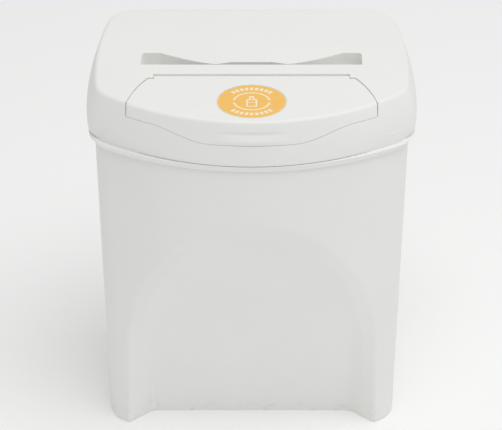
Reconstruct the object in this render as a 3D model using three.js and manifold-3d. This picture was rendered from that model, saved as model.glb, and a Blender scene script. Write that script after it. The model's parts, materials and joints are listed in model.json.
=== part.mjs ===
// A stackable bin for sorting household waste, with a lift-up flap in its hinged lid.
// Millimetres, +Z up. The origin is on the floor under the middle of the bin, and the front faces -Y.
import * as THREE from 'three';
import { mergeVertices } from 'three/addons/utils/BufferGeometryUtils.js';
import Module from 'manifold-3d';

// Overall sizes
const WIDTH = 392;             // across the widest line of the lid's skirt
const FRONT = -147.5;          // foremost point, the finger ledge
const BACK = 147.5;            // rearmost face, the lid's rear skirt
const HEIGHT = 450;            // lid top above the floor

// Plan outline, shared by the tub and the lid
const FRONT_RADIUS = 270;      // bow of the front
const SIDE_RADIUS = 600;       // bow of each side
const REAR_CORNER = 34;
const FRONT_CORNER = 14;

// Walls and clearances
const TUB_WALL = 2.4;
const LID_WALL = 2.4;
const FLAP_WALL = 2.4;
const TOUCH = 0.3;             // between pieces that rest on each other
const EDGE_GAP = 1.2;          // around the flap
const BACKING_GAP = 0.8;       // behind the flap's lip and under its plate

// Lid skirt
const SKIRT_HEIGHT = 57;       // lid top down to the skirt's lower edge
const FLARE_HEIGHT = 45;       // lid top down to the widest line
const SIDE_FLARE = 11;         // how far each side leans out on the way down
const FRONT_FLARE = 3.9;
const SKIRT_TUCK = 1.4;        // how far the skirt draws in again under its widest line
const LEDGE_REACH = 0.5;       // the finger ledge stands this far in front of the skirt
const TOP_EDGE = 3.5;          // rounding of the lid's top edge

// Tub
const SEAM = 1;                // between the skirt and the tub's rim flange
const FLANGE_HEIGHT = 8;
const FLANGE_TUCK = 5;         // how far the flange draws in at its lower edge
const FLANGE_INSET = 0.2;      // the flange's upper edge stands this far inside the skirt
const NECK_HEIGHT = 16;        // the neck stands this far above the flange, inside the skirt
const NECK_SIDE_GAP = 4.7;     // neck to the inside of the skirt
const NECK_FRONT_GAP = 1.8;
const TUB_INSET = 8.8;         // tub side inside the widest line, just under the flange
const TUB_FRONT_INSET = 3.7;
const TUB_BACK_INSET = 10;     // leaves room for the lid's hinge
const SIDE_DRAFT = 0.0253;     // each side leans in this much per millimetre down
const FRONT_DRAFT = 0.0086;
const BACK_DRAFT = 0.0117;
const FLOOR_UNDERSIDE = 5;     // the tub stands on a rim this tall
const FOOT_RIM = 4;            // width of that rim

// Arched scoop in the tub's front
const SCOOP_HALF_WIDTH = 152;
const SCOOP_SPRING = 110;      // height at which the straight sides turn into the arch
const SCOOP_HEADROOM = 71;     // tub left above the arch, up to the rim flange
const SCOOP_DEPTH = 73;        // at the floor, behind the foremost line of the tub
const SCOOP_FLANK = 27;        // width of the sloping flank inside each leg
const SCOOP_EDGE_STEP = 5;     // depth just inside the arch's edge
const SCOOP_BOW = 0.24;        // share of the scoop wall's lean that comes in its upper part

// Flap
const FLAP_DROP = 0.4;         // the flap's top sits this far under the lid's top
const FLAP_REAR = -26.5;       // rearmost line of the hinge barrel
const BARREL_RADIUS = 5;
const BARREL_HALF_LENGTH = 115;
const BARREL_END = 28;         // length of each full knuckle at the barrel's ends
const EAR_WIDTH = 7;           // lid ears that carry the barrel
const EAR_DEPTH = 11;
const FLAP_SHOULDER = 121.5;   // half-width just in front of the ears
const SHOULDER_ROOM = 2;       // gaps between shoulder and ear, because the shoulder swings past it
const BARREL_ROOM = 4.8;       // the same behind the barrel's axis
const FLAP_HALF_WIDTH = 145.5; // half-width at the front
const LIP_END_HEIGHT = 16;     // lip at its ends, below the lid's top
const LIP_MIDDLE_HEIGHT = 30;
const LIP_MIDDLE_HALF = 50;    // the deep middle of the lip
const LIP_SHALLOW_HALF = 120;  // where the lip reaches its end height
const LEDGE_HALF = 55;
const LEDGE_NOSE = 5;          // height of the ledge's nose above the lip's lower edge
const LEDGE_TOP = 12.5;        // where the ledge runs out above it
const SEAT_BORDER = 4;         // seat beyond the flap's outline
const SEAT_THICKNESS = 3;
const SEAT_WIDTH = 12;         // how far the seat reaches in under the flap
const MOUTH_FRONT_INSET = 18;

// Grip pocket behind the flap
const BRIDGE_WIDTH = 23.7;     // the strip between the flap and the pocket
const POCKET_HALF_WIDTH = 131;
const POCKET_REACH = 30;       // front to back at its ends
const POCKET_DEPTH = 24;
const POCKET_WALL = 2.2;
const POCKET_CORNER = 22;      // width of the straight stretch at each end
const POCKET_CHAMFER = 3;
const TONGUE_HALF = 42;        // where the panel behind comes closest to the bridge
const TONGUE_GAP = 1.2;
const NOTCH_HALF = 24;
const NOTCH_GAP = 6.5;

// Pins
const PIN_RADIUS = 2;
const PIN_CHAMFER = 0.6;
const FLAP_PIN_LENGTH = 22;
const LID_PIN_LENGTH = 38;
const PIN_HEAD_RADIUS = 3.6;
const PIN_HEAD = 1.5;
const ROUND = 16;              // sides of a small round piece

// Lid hinge
const HINGE_X = 105;
const HINGE_KNUCKLE = 14;      // width of the tub's knuckle
const HINGE_ARM = 9.4;         // width of each lid arm
const HINGE_GAP = 0.6;
const HINGE_RADIUS = 4.5;
const HINGE_DROP = 2;          // skirt's lower edge down to the top of the knuckles
const KNUCKLE_WEB = 22;        // axis down to the foot of the knuckle's web
const ARM_ROOT = 6;            // the arms run this far up into the skirt

// Bag ring
const RING_DROP = 12;
const RING_WALL = 2;
const RING_CLEARANCE = 1.2;
const RING_FLANGE = 2.2;
const RING_INSET = 0.5;        // the ring's flange stands this far inside the neck

// Label
const LABEL_RADIUS = 40;
const LABEL_Y = -93;
const LABEL_THICKNESS = 0.5;
const LABEL_RECESS = 0.8;
const LABEL_GAP = 0.8;

// Heights and lines that follow from the sizes above
const HALF_WIDTH = WIDTH / 2;
const SKIRT_FRONT = FRONT + LEDGE_REACH;
const SKIRT_BOTTOM = HEIGHT - SKIRT_HEIGHT;
const WIDEST = HEIGHT - FLARE_HEIGHT;
const FLANGE_TOP = SKIRT_BOTTOM - SEAM;
const FLANGE_BOTTOM = FLANGE_TOP - FLANGE_HEIGHT;
const NECK_TOP = FLANGE_TOP + NECK_HEIGHT;
const SCOOP_TOP = FLANGE_BOTTOM - SCOOP_HEADROOM;
const FLOOR_TOP = FLOOR_UNDERSIDE + TUB_WALL;
const FLAP_TOP = HEIGHT - FLAP_DROP;
const FLAP_BOTTOM = FLAP_TOP - FLAP_WALL;
const FLAP_AXIS_Y = FLAP_REAR - BARREL_RADIUS;
const FLAP_AXIS_Z = FLAP_TOP - BARREL_RADIUS;
const BRIDGE_FRONT = FLAP_REAR + BACKING_GAP;
const POCKET_FRONT = BRIDGE_FRONT + BRIDGE_WIDTH;
const HINGE_Y = BACK - HINGE_RADIUS - LEDGE_REACH;
const HINGE_Z = SKIRT_BOTTOM - HINGE_RADIUS - HINGE_DROP;
const BEYOND = 60;             // how far a cutter runs past what it cuts

const library = await Module();
library.setup();

// ---- joining and cutting -------------------------------------------------------------------------------

function solid(geometry) {
  const bare = geometry.index ? geometry.toNonIndexed() : geometry;
  bare.deleteAttribute('normal');
  bare.deleteAttribute('uv');
  const merged = mergeVertices(bare, 1e-4);
  return new library.Manifold(new library.Mesh({
    numProp: 3,
    vertProperties: new Float32Array(merged.attributes.position.array),
    triVerts: new Uint32Array(merged.index.array),
  }));
}

function geometryOf(body) {
  const mesh = body.getMesh();
  const geometry = new THREE.BufferGeometry();
  geometry.setAttribute('position', new THREE.BufferAttribute(new Float32Array(mesh.vertProperties), 3));
  geometry.setIndex(new THREE.BufferAttribute(new Uint32Array(mesh.triVerts), 1));
  geometry.computeVertexNormals();
  return geometry;
}

function box(x0, x1, y0, y1, z0, z1) {
  const geometry = new THREE.BoxGeometry(x1 - x0, y1 - y0, z1 - z0);
  return solid(geometry.translate((x0 + x1) / 2, (y0 + y1) / 2, (z0 + z1) / 2));
}

// A round bar along X.
function barAlongX(radius, x0, x1, y, z, sides = ROUND) {
  const geometry = new THREE.CylinderGeometry(radius, radius, x1 - x0, sides);
  return solid(geometry.rotateZ(Math.PI / 2).translate((x0 + x1) / 2, y, z));
}

// A straight-sided plate with the given plan outline.
function plate(outline, z0, z1) {
  const settings = { depth: z1 - z0, bevelEnabled: false };
  const geometry = new THREE.ExtrudeGeometry(new THREE.Shape(outline), settings);
  return solid(geometry.translate(0, 0, z0));
}

// A slab with the given outline in the YZ plane, from x0 to x1.
function slabAlongX(shape, x0, x1) {
  const settings = { depth: x1 - x0, bevelEnabled: false, curveSegments: 8 };
  const geometry = new THREE.ExtrudeGeometry(shape, settings);
  return solid(geometry.rotateZ(Math.PI / 2).rotateY(Math.PI / 2).translate(x0, 0, 0));
}

// A slab with the given outline in the XZ plane, from y0 to y1.
function slabAlongY(outline, y0, y1) {
  const settings = { depth: y1 - y0, bevelEnabled: false };
  const geometry = new THREE.ExtrudeGeometry(new THREE.Shape(outline), settings);
  return solid(geometry.rotateX(Math.PI / 2).translate(0, y1, 0));
}

// A solid whose plan outline changes with height: the first outline is extruded in as many steps as there are
// levels, and then each level takes its own outline and height.
function loft(levels) {
  const base = levels[0].outline;
  const steps = levels.length - 1;
  const settings = { depth: steps, steps, bevelEnabled: false };
  const geometry = new THREE.ExtrudeGeometry(new THREE.Shape(base), settings);
  const position = geometry.attributes.position;
  for (let i = 0; i < position.count; i += 1) {
    const level = levels[Math.round(position.getZ(i))];
    const corner = base.findIndex((p) => Math.hypot(p.x - position.getX(i), p.y - position.getY(i)) < 1e-3);
    position.setXYZ(i, level.outline[corner].x, level.outline[corner].y, level.z);
  }
  return solid(geometry);
}

// ---- plan outlines -------------------------------------------------------------------------------------

const point = (x, y) => new THREE.Vector2(x, y);
const sag = (offset, radius) => radius - Math.sqrt(radius * radius - offset * offset);
const mirrored = (half) => [...half, ...half.slice(1, -1).reverse().map((p) => point(-p.x, p.y))];

function rounded(start, corner, end, parts) {
  return new THREE.QuadraticBezierCurve(start, corner, end).getPoints(parts);
}

// The bowed outline of the tub and the lid, anticlockwise from the middle of the front.
function bowedOutline({ halfWidth, front, back, rearCorner = REAR_CORNER, frontCorner = FRONT_CORNER }) {
  const side = (y) => point(halfWidth - sag(y, SIDE_RADIUS), y);
  const nose = (x) => point(x, front + sag(x, FRONT_RADIUS));
  let corner = point(halfWidth, front);
  for (let i = 0; i < 30; i += 1) corner = point(side(nose(corner.x).y).x, nose(corner.x).y);
  const noseEnd = corner.x - frontCorner;
  const sideStart = corner.y + frontCorner;
  const sideEnd = back - rearCorner;
  const rear = side(back);
  const half = [];
  for (let i = 0; i < 14; i += 1) half.push(nose(noseEnd * i / 14));
  half.push(...rounded(nose(noseEnd), corner, side(sideStart), 4));
  for (let i = 1; i < 6; i += 1) half.push(side(sideStart + (sideEnd - sideStart) * i / 6));
  half.push(...rounded(side(sideEnd), point(rear.x, back), point(rear.x - rearCorner, back), 6));
  half.push(point(0, back));
  return mirrored(half);
}

const inset = (section, by) => ({
  halfWidth: section.halfWidth - by,
  front: section.front + by,
  back: section.back - by,
});

// ---- the lid's outer form ------------------------------------------------------------------------------

function lidSection(z) {
  const down = HEIGHT - z;
  const flare = Math.sin(Math.PI / 2 * Math.min(1, down / FLARE_HEIGHT));
  const tuck = SKIRT_TUCK * (Math.max(0, WIDEST - z) / (WIDEST - SKIRT_BOTTOM)) ** 2;
  const rise = Math.max(0, TOP_EDGE - down);
  const edge = sag(Math.min(rise, TOP_EDGE), TOP_EDGE);
  return {
    halfWidth: HALF_WIDTH - SIDE_FLARE * (1 - flare) - tuck - edge,
    front: SKIRT_FRONT + FRONT_FLARE * (1 - flare) + tuck / 3 + edge,
    back: BACK - edge,
  };
}

const SKIRT_STEPS = [0, 0.2, 0.42, 0.62, 0.8, 1];
const lidHeights = [
  ...SKIRT_STEPS.map((share) => SKIRT_BOTTOM + share * (HEIGHT - TOP_EDGE - SKIRT_BOTTOM)),
  HEIGHT - TOP_EDGE * 0.5,
  HEIGHT - TOP_EDGE * 0.15,
  HEIGHT,
];

function lidForm() {
  return loft(lidHeights.map((z) => ({ z, outline: bowedOutline(lidSection(z)) })));
}

// The same form drawn in all round by a wall, without the rounded top edge.
function lidCore(by, bottom, top) {
  const heights = [bottom, ...SKIRT_STEPS.slice(1).map((share) => bottom + share * (top - bottom))];
  return loft(heights.map((z) => {
    const within = Math.min(Math.max(z, SKIRT_BOTTOM), HEIGHT - TOP_EDGE);
    return { z, outline: bowedOutline(inset(lidSection(within), by)) };
  }));
}

// ---- the tub's outer form ------------------------------------------------------------------------------

function tubSection(z) {
  const down = FLANGE_BOTTOM - z;
  return {
    halfWidth: HALF_WIDTH - TUB_INSET - down * SIDE_DRAFT,
    front: SKIRT_FRONT + TUB_FRONT_INSET + down * FRONT_DRAFT,
    back: BACK - TUB_BACK_INSET - down * BACK_DRAFT,
  };
}

function tubWallForm(by, bottom, top, steps) {
  const levels = [];
  for (let i = 0; i <= steps; i += 1) {
    const z = bottom + (top - bottom) * i / steps;
    levels.push({ z, outline: bowedOutline(inset(tubSection(z), by)) });
  }
  return loft(levels);
}

// The flange draws in towards its lower edge and stays off the hinge at the back.
function flangeForm() {
  const top = inset(lidSection(SKIRT_BOTTOM), FLANGE_INSET);
  const back = BACK - TUB_BACK_INSET;
  const levels = [0, 0.3, 0.65, 1].map((share) => {
    const draw = FLANGE_TUCK * (1 - share) ** 1.6;
    const section = { halfWidth: top.halfWidth - draw, front: top.front + draw / 2, back };
    return { z: FLANGE_BOTTOM + FLANGE_HEIGHT * share, outline: bowedOutline(section) };
  });
  return loft(levels);
}

const NECK = {
  halfWidth: lidSection(NECK_TOP).halfWidth - LID_WALL - NECK_SIDE_GAP,
  front: lidSection(FLANGE_TOP + SEAM).front + LID_WALL + NECK_FRONT_GAP,
  back: BACK - TUB_BACK_INSET + 0.9,
};

// The arched scoop as a cutter. growth thickens it, for the wall behind it.
function scoopForm(growth) {
  const rise = SCOOP_TOP - SCOOP_SPRING;
  const archHalf = (z) => SCOOP_HALF_WIDTH * Math.sqrt(1 - (Math.max(0, z - SCOOP_SPRING) / rise) ** 2);
  const foremost = tubSection(0).front;
  const apex = tubSection(SCOOP_TOP).front;
  const lean = apex - foremost - SCOOP_DEPTH;
  const wallY = (z) => {
    const share = z / SCOOP_TOP;
    return foremost + SCOOP_DEPTH + lean * ((1 - SCOOP_BOW) * share + SCOOP_BOW * share ** 2);
  };
  const shares = [-0.02, 0, 0.12, 0.24, 0.35, 0.46, 0.57, 0.67, 0.76, 0.84, 0.9, 0.95, 0.98, 0.996];
  return loft(shares.map((share) => {
    const z = share * SCOOP_TOP;
    const half = archHalf(z);
    const fade = Math.sqrt(1 - Math.max(0, share));
    const outer = tubSection(z).front + sag(half, FRONT_RADIUS);
    const crease = Math.max(0.35 * half, half - SCOOP_FLANK * Math.min(1, half / SCOOP_HALF_WIDTH));
    const middle = wallY(z);
    const creaseY = Math.max(middle, outer + SCOOP_EDGE_STEP * fade);
    const rightSide = [
      point(half + growth, FRONT - BEYOND),
      point(half + growth, outer + growth * 0.4),
      point(crease + growth * 0.5, creaseY + growth),
      point(crease * 0.5, middle + (creaseY - middle) * 0.25 + growth),
      point(0, middle + growth),
    ];
    const outline = mirrored([point(0, FRONT - BEYOND), ...rightSide]);
    return { z: z + (share > 0.5 ? growth : 0), outline };
  }));
}

function tubKnuckle(centre) {
  const wall = BACK - TUB_BACK_INSET - TUB_WALL / 2;
  const shape = new THREE.Shape();
  shape.moveTo(wall, HINGE_Z - KNUCKLE_WEB);
  shape.absarc(HINGE_Y, HINGE_Z, HINGE_RADIUS, -0.7, Math.PI / 2, false);
  shape.lineTo(wall, HINGE_Z + HINGE_RADIUS);
  return slabAlongX(shape, centre - HINGE_KNUCKLE / 2, centre + HINGE_KNUCKLE / 2);
}

const boreRadius = PIN_RADIUS + TOUCH;

function binBody() {
  const neck = loft([FLANGE_TOP - 2, NECK_TOP].map((z) => ({ z, outline: bowedOutline(NECK) })));
  let body = tubWallForm(0, 0, FLANGE_TOP - 1, 4).add(flangeForm()).add(neck).subtract(scoopForm(0));
  const cavity = tubWallForm(TUB_WALL, FLOOR_TOP, NECK_TOP + 2, 4).subtract(scoopForm(TUB_WALL));
  const underside = tubWallForm(FOOT_RIM, -1, FLOOR_UNDERSIDE, 1).subtract(scoopForm(FOOT_RIM));
  body = body.subtract(cavity).subtract(underside);
  for (const side of [-1, 1]) {
    const centre = side * HINGE_X;
    body = body.add(tubKnuckle(centre));
    body = body.subtract(barAlongX(boreRadius, centre - BEYOND / 2, centre + BEYOND / 2, HINGE_Y, HINGE_Z));
  }
  return body;
}

// ---- the flap's outline and lip ------------------------------------------------------------------------

// Half of the flap's plan: notched round the ear, then widening to the front in a shallow curve.
function flapOutline(grow) {
  const frontY = lidSection(HEIGHT - TOP_EDGE).front + sag(FLAP_HALF_WIDTH, FRONT_RADIUS);
  const shoulder = FLAP_REAR - EAR_DEPTH + grow * SHOULDER_ROOM;
  const half = [
    point(0, FRONT - BEYOND),
    point(FLAP_HALF_WIDTH + grow, FRONT - BEYOND),
    ...rounded(
      point(FLAP_HALF_WIDTH + grow, frontY),
      point(FLAP_HALF_WIDTH - 6 + grow, (frontY + shoulder) / 2 + 4),
      point(FLAP_SHOULDER + grow, shoulder),
      5,
    ),
    point(BARREL_HALF_LENGTH + grow, shoulder),
    point(BARREL_HALF_LENGTH + grow, FLAP_AXIS_Y + grow * BARREL_ROOM),
    point(0, FLAP_AXIS_Y + grow * BARREL_ROOM),
  ];
  return mirrored(half);
}

// Height of the lip's lower edge: deep in the middle, shallow towards its ends.
function lipHeight(x) {
  const share = (Math.abs(x) - LIP_MIDDLE_HALF) / (LIP_SHALLOW_HALF - LIP_MIDDLE_HALF);
  const ease = (1 - Math.cos(Math.PI * Math.min(1, Math.max(0, share)))) / 2;
  return HEIGHT - LIP_MIDDLE_HEIGHT + (LIP_MIDDLE_HEIGHT - LIP_END_HEIGHT) * ease;
}

function lipCurtain(grow, top) {
  const half = FLAP_HALF_WIDTH + grow;
  const outline = [point(half, top), point(-half, top)];
  const parts = 24;
  for (let i = 0; i <= parts; i += 1) {
    const x = -half + 2 * half * i / parts;
    outline.push(point(x, lipHeight(x) - grow));
  }
  return slabAlongY(outline, FRONT - BEYOND, FLAP_REAR - 4 * EAR_DEPTH);
}

function mouthOutline() {
  const half = [];
  const reach = FLAP_HALF_WIDTH - 1.5 * SEAT_WIDTH;
  const front = lidSection(HEIGHT - TOP_EDGE).front + MOUTH_FRONT_INSET;
  for (let i = 0; i <= 10; i += 1) {
    const x = reach * i / 10;
    half.push(point(x, front + sag(x, FRONT_RADIUS)));
  }
  half.push(point(reach, half[10].y + 8));
  half.push(point(FLAP_SHOULDER - SEAT_WIDTH, FLAP_REAR - EAR_DEPTH - 10));
  half.push(point(BARREL_HALF_LENGTH + EDGE_GAP, FLAP_REAR - EAR_DEPTH));
  half.push(point(BARREL_HALF_LENGTH + EDGE_GAP, BRIDGE_FRONT));
  half.push(point(0, BRIDGE_FRONT));
  return mirrored(half);
}

// ---- the grip pocket -----------------------------------------------------------------------------------

// The panel behind the pocket reaches forward in the middle, with a shallow notch in its tip.
function tongueEdge(x) {
  const away = Math.abs(x);
  if (away < TONGUE_HALF) {
    const share = Math.min(1, Math.max(0, (away - NOTCH_HALF) / (TONGUE_HALF - NOTCH_HALF)));
    return POCKET_FRONT + NOTCH_GAP + (TONGUE_GAP - NOTCH_GAP) * share;
  }
  const share = (away - TONGUE_HALF) / (POCKET_HALF_WIDTH - POCKET_CORNER - TONGUE_HALF);
  return POCKET_FRONT + TONGUE_GAP + (POCKET_REACH - TONGUE_GAP) * Math.min(1, share) ** 1.4;
}

function pocketOutline(grow) {
  const half = [point(0, POCKET_FRONT - grow)];
  half.push(point(POCKET_HALF_WIDTH + grow, POCKET_FRONT - grow));
  half.push(point(POCKET_HALF_WIDTH + grow, POCKET_FRONT + POCKET_REACH - POCKET_CHAMFER + grow));
  half.push(point(POCKET_HALF_WIDTH - POCKET_CHAMFER + grow, POCKET_FRONT + POCKET_REACH + grow));
  const curveEnd = POCKET_HALF_WIDTH - POCKET_CORNER;
  const parts = 8;
  for (let i = parts; i > 0; i -= 1) {
    const x = TONGUE_HALF + (curveEnd - TONGUE_HALF) * i / parts;
    half.push(point(x, tongueEdge(x) + grow));
  }
  half.push(point(TONGUE_HALF, tongueEdge(TONGUE_HALF) + grow));
  half.push(point(NOTCH_HALF, tongueEdge(NOTCH_HALF) + grow));
  half.push(point(0, tongueEdge(0) + grow));
  return mirrored(half);
}

// ---- the lid -------------------------------------------------------------------------------------------

function hingeArm(x0, x1) {
  const shape = new THREE.Shape();
  shape.moveTo(HINGE_Y - 1, HINGE_Z);
  shape.lineTo(HINGE_Y - HINGE_RADIUS, HINGE_Z);
  shape.absarc(HINGE_Y, HINGE_Z, HINGE_RADIUS, -Math.PI, 0, false);
  shape.lineTo(HINGE_Y + HINGE_RADIUS, SKIRT_BOTTOM + ARM_ROOT);
  shape.lineTo(HINGE_Y - 1, SKIRT_BOTTOM + ARM_ROOT);
  return slabAlongX(shape, x0, x1);
}

function lidFrame() {
  const form = lidForm();
  const plateBottom = HEIGHT - LID_WALL - 0.4;
  let frame = form.subtract(lidCore(LID_WALL, SKIRT_BOTTOM - 1, plateBottom));

  // A second wall behind the flap's lip, and the seat under the flap's plate.
  const backing = lipCurtain(SEAT_BORDER, HEIGHT - 1).intersect(form);
  const backingWall = LID_WALL + BACKING_GAP + FLAP_WALL;
  frame = frame.add(backing.subtract(lidCore(backingWall, SKIRT_BOTTOM - 1, HEIGHT)));
  const seatBottom = FLAP_BOTTOM - BACKING_GAP - SEAT_THICKNESS;
  const seatRear = box(-BEYOND * 3, BEYOND * 3, FRONT, BRIDGE_FRONT + 2, seatBottom - 1, HEIGHT);
  const seat = plate(flapOutline(SEAT_BORDER), seatBottom, HEIGHT - 1);
  frame = frame.add(seat.intersect(form).intersect(seatRear));

  // Ears at both ends of the hinge barrel.
  for (const side of [-1, 1]) {
    const near = side * (BARREL_HALF_LENGTH + EDGE_GAP);
    const far = near + side * (EAR_WIDTH + SEAT_BORDER);
    const [x0, x1] = [Math.min(near, far), Math.max(near, far)];
    const earBottom = FLAP_AXIS_Z - BARREL_RADIUS - 2;
    frame = frame.add(box(x0, x1, FLAP_REAR - EAR_DEPTH + 1, BRIDGE_FRONT + 4, earBottom, HEIGHT - 1));
  }

  // Room for the flap, its lip and its barrel, and the mouth that waste goes through.
  frame = frame.subtract(plate(flapOutline(EDGE_GAP), FLAP_BOTTOM - BACKING_GAP, HEIGHT + 1)
    .intersect(box(-HALF_WIDTH, HALF_WIDTH, FRONT - BEYOND, BRIDGE_FRONT, 0, HEIGHT + 2)));
  frame = frame.subtract(lipCurtain(EDGE_GAP, HEIGHT + 1)
    .intersect(box(-HALF_WIDTH, HALF_WIDTH, FRONT - BEYOND, FLAP_REAR, 0, HEIGHT + 2))
    .subtract(lidCore(BACKING_GAP + FLAP_WALL, SKIRT_BOTTOM - 1, HEIGHT + 1)));
  frame = frame.subtract(plate(mouthOutline(), SKIRT_BOTTOM, HEIGHT + 1));

  // The grip pocket is a bowl hung under the top.
  frame = frame.add(plate(pocketOutline(POCKET_WALL), HEIGHT - POCKET_DEPTH, HEIGHT - 1));
  frame = frame.subtract(plate(pocketOutline(0), HEIGHT - POCKET_DEPTH + POCKET_WALL, HEIGHT + 1));

  for (const side of [-1, 1]) {
    frame = frame.subtract(barAlongX(boreRadius, side * HINGE_X - BEYOND / 2 + (side > 0 ? 12 : -12),
      side * HINGE_X + BEYOND / 2 + (side > 0 ? 12 : -12), FLAP_AXIS_Y, FLAP_AXIS_Z));
    const inner = HINGE_KNUCKLE / 2 + HINGE_GAP;
    for (const way of [-1, 1]) {
      const ends = [side * HINGE_X + way * inner, side * HINGE_X + way * (inner + HINGE_ARM)];
      frame = frame.add(hingeArm(Math.min(...ends), Math.max(...ends)));
    }
    frame = frame.subtract(
      barAlongX(boreRadius, side * HINGE_X - BEYOND / 2, side * HINGE_X + BEYOND / 2, HINGE_Y, HINGE_Z));
  }
  return frame;
}

// ---- the flap ------------------------------------------------------------------------------------------

// A crescent ledge under the middle of the lip, for the fingertips. It runs out into the lip at both ends.
function fingerLedge() {
  const lipBottom = HEIGHT - LIP_MIDDLE_HEIGHT;
  const steps = [[0.4, 2], [LEDGE_NOSE / 2, 0], [LEDGE_NOSE, 0], [LEDGE_TOP, 3.2]];
  return loft(steps.map(([above, draw]) => {
    const z = lipBottom + above;
    const face = lidSection(z).front;
    const ends = face + sag(LEDGE_HALF, FRONT_RADIUS) + 0.6;
    const nose = (x) => FRONT + draw + (ends - FRONT - draw) * (x / LEDGE_HALF) ** 2;
    const half = [];
    for (let i = 0; i <= 8; i += 1) half.push(point(LEDGE_HALF * i / 8, nose(LEDGE_HALF * i / 8)));
    for (let i = 8; i >= 0; i -= 1) {
      const x = LEDGE_HALF * i / 8;
      half.push(point(x, face + sag(x, FRONT_RADIUS) + FLAP_WALL / 2));
    }
    return { z, outline: mirrored(half) };
  }));
}

function frontFlap() {
  const form = lidForm().translate([0, 0, -FLAP_DROP]);
  const rear = box(-HALF_WIDTH, HALF_WIDTH, FRONT - BEYOND, FLAP_AXIS_Y - 0.5, 0, HEIGHT);
  let flap = plate(flapOutline(0), FLAP_BOTTOM, HEIGHT).intersect(form).intersect(rear);
  const shell = lidForm().subtract(lidCore(FLAP_WALL, SKIRT_BOTTOM - 1, HEIGHT + 1));
  flap = flap.add(lipCurtain(0, FLAP_BOTTOM + 0.2).intersect(shell));
  flap = flap.add(fingerLedge());

  // The barrel is whole at its ends and open underneath between them.
  const barrelEnds = [-BARREL_HALF_LENGTH, BARREL_HALF_LENGTH];
  flap = flap.add(barAlongX(BARREL_RADIUS, ...barrelEnds, FLAP_AXIS_Y, FLAP_AXIS_Z, 24));
  const openHalf = BARREL_HALF_LENGTH - BARREL_END;
  const openBottom = FLAP_AXIS_Z - BARREL_RADIUS - 1;
  flap = flap.subtract(box(-openHalf, openHalf, FLAP_AXIS_Y - 6, FLAP_REAR + 1, openBottom, FLAP_AXIS_Z - 1));
  flap = flap.subtract(
    barAlongX(boreRadius + 0.2, -BARREL_HALF_LENGTH - 1, BARREL_HALF_LENGTH + 1, FLAP_AXIS_Y, FLAP_AXIS_Z));

  const recess = new THREE.CylinderGeometry(LABEL_RADIUS + LABEL_GAP, LABEL_RADIUS + LABEL_GAP, 4, 48);
  recess.rotateX(Math.PI / 2).translate(0, LABEL_Y, FLAP_TOP - LABEL_RECESS + 2);
  return flap.subtract(solid(recess));
}

// ---- the small pieces ----------------------------------------------------------------------------------

// A plain pin along X with a flat head at its far end.
function headedPin(length) {
  const profile = [
    point(0, 0),
    point(PIN_RADIUS - PIN_CHAMFER, 0),
    point(PIN_RADIUS, PIN_CHAMFER),
    point(PIN_RADIUS, length),
    point(PIN_HEAD_RADIUS, length),
    point(PIN_HEAD_RADIUS, length + PIN_HEAD),
    point(0, length + PIN_HEAD),
  ];
  return new THREE.LatheGeometry(profile, ROUND).rotateZ(-Math.PI / 2);
}

function straightPin(length) {
  const profile = [
    point(0, 0),
    point(PIN_RADIUS - PIN_CHAMFER, 0),
    point(PIN_RADIUS, PIN_CHAMFER),
    point(PIN_RADIUS, length - PIN_CHAMFER),
    point(PIN_RADIUS - PIN_CHAMFER, length),
    point(0, length),
  ];
  return new THREE.LatheGeometry(profile, ROUND).rotateZ(-Math.PI / 2);
}

function bagRing() {
  const cavity = inset(tubSection(NECK_TOP), TUB_WALL);
  const drop = inset(cavity, RING_CLEARANCE);
  const seat = NECK_TOP + TOUCH;
  const rim = bowedOutline(inset(NECK, RING_INSET));
  const flange = loft([seat, seat + RING_FLANGE].map((z) => ({ z, outline: rim })));
  const skirt = loft([NECK_TOP - RING_DROP, seat + 1].map((z) => ({ z, outline: bowedOutline(drop) })));
  const inside = inset(drop, RING_WALL);
  const ends = [NECK_TOP - RING_DROP - 1, NECK_TOP + 9];
  const hollow = loft(ends.map((z) => ({ z, outline: bowedOutline(inside) })));
  return flange.add(skirt).subtract(hollow);
}

// ---- the assembly --------------------------------------------------------------------------------------

const bin = new THREE.Group();
const whitePlastic = { color: 0xe9e8e3, roughness: 0.62, metalness: 0 };

function place(name, geometry, material, parent) {
  const mesh = new THREE.Mesh(geometry, new THREE.MeshStandardMaterial(material));
  mesh.name = name;
  parent.add(mesh);
  return mesh;
}

const lid = new THREE.Group();
const flap = new THREE.Group();
bin.add(lid);
lid.add(flap);

place('bin_body', geometryOf(binBody()), whitePlastic, bin);
place('bag_ring', geometryOf(bagRing()), { color: 0xd2d4d3, roughness: 0.6, metalness: 0 }, bin);
place('lid_frame', geometryOf(lidFrame()), whitePlastic, lid);
place('front_flap', geometryOf(frontFlap()), whitePlastic, flap);

const label = new THREE.CylinderGeometry(LABEL_RADIUS, LABEL_RADIUS, LABEL_THICKNESS, 48);
label.rotateX(Math.PI / 2);
const sticker = place('sorting_label', label, { color: 0xfdcb60, roughness: 0.5, metalness: 0 }, flap);
sticker.position.set(0, LABEL_Y, FLAP_TOP - LABEL_THICKNESS / 2);

const pinFinish = { color: 0xdedfdc, roughness: 0.4, metalness: 0 };
for (const [side, word] of [[-1, 'left'], [1, 'right']]) {
  const lidPin = place(`lid_hinge_pin_${word}`, headedPin(LID_PIN_LENGTH), pinFinish, bin);
  lidPin.position.set(side * (HINGE_X - LID_PIN_LENGTH / 2), HINGE_Y, HINGE_Z);
  const flapPin = place(`flap_hinge_pin_${word}`, straightPin(FLAP_PIN_LENGTH), pinFinish, lid);
  const pinX = BARREL_HALF_LENGTH + EDGE_GAP / 2 - FLAP_PIN_LENGTH / 2;
  flapPin.position.set(side * pinX, FLAP_AXIS_Y, FLAP_AXIS_Z);
  if (side < 0) {
    lidPin.rotation.z = Math.PI;
    flapPin.rotation.z = Math.PI;
  }
}

export default bin;
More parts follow.
